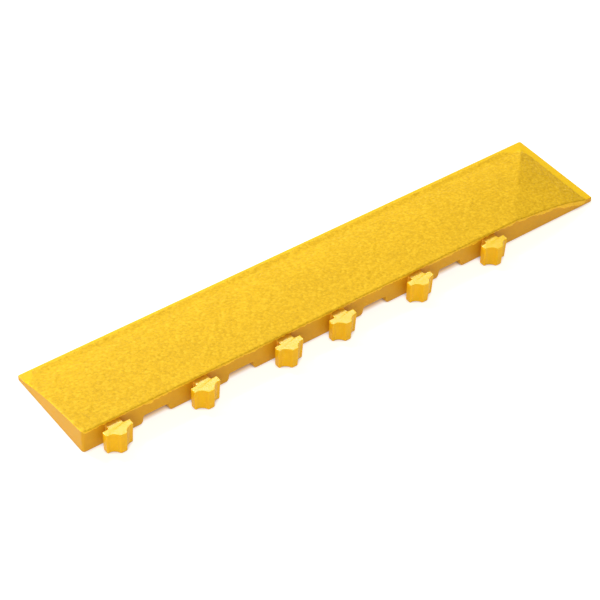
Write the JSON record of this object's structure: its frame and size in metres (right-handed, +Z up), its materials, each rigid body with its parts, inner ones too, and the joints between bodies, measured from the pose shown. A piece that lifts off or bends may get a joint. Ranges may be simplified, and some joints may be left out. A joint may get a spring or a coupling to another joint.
{
  "type": "interlocking edge ramp for modular floor tiles",
  "caption": "Bright yellow bevelled edge ramp with a hipped right-hand corner, a grit-coated slope and upright lobed lugs that lock into floor tiles.",
  "frame": {"origin": "centre of the footprint, lugs included, on the floor", "axes": "+X along the interlock wall towards the hipped right end; +Y from the interlock wall down the slope to the thin lip, so the lugs point to -Y; +Z up"},
  "size_m": [0.5588, 0.1194, 0.0248],
  "materials": {
    "moulding": "satin moulded flexible PVC",
    "lug": "satin moulded flexible PVC",
    "underside": "matt moulded flexible PVC",
    "grit": "coarse bonded mineral grit in a yellow coating"
  },
  "bodies": {
    "root": {"deck_skin": "moulding", "interlock_wall": "moulding", "left_end_wall": "moulding", "interlock_lug_1": "lug", "interlock_lug_2": "lug", "interlock_lug_3": "lug", "interlock_lug_4": "lug", "interlock_lug_5": "lug", "interlock_lug_6": "lug", "cross_rib_1": "underside", "cross_rib_2": "underside", "cross_rib_3": "underside", "cross_rib_4": "underside", "cross_rib_5": "underside", "cross_rib_6": "underside", "cross_rib_7": "underside", "cross_rib_8": "underside", "grit_coat_slope": "grit", "grit_coat_end": "grit"}
  },
  "joints": []
}
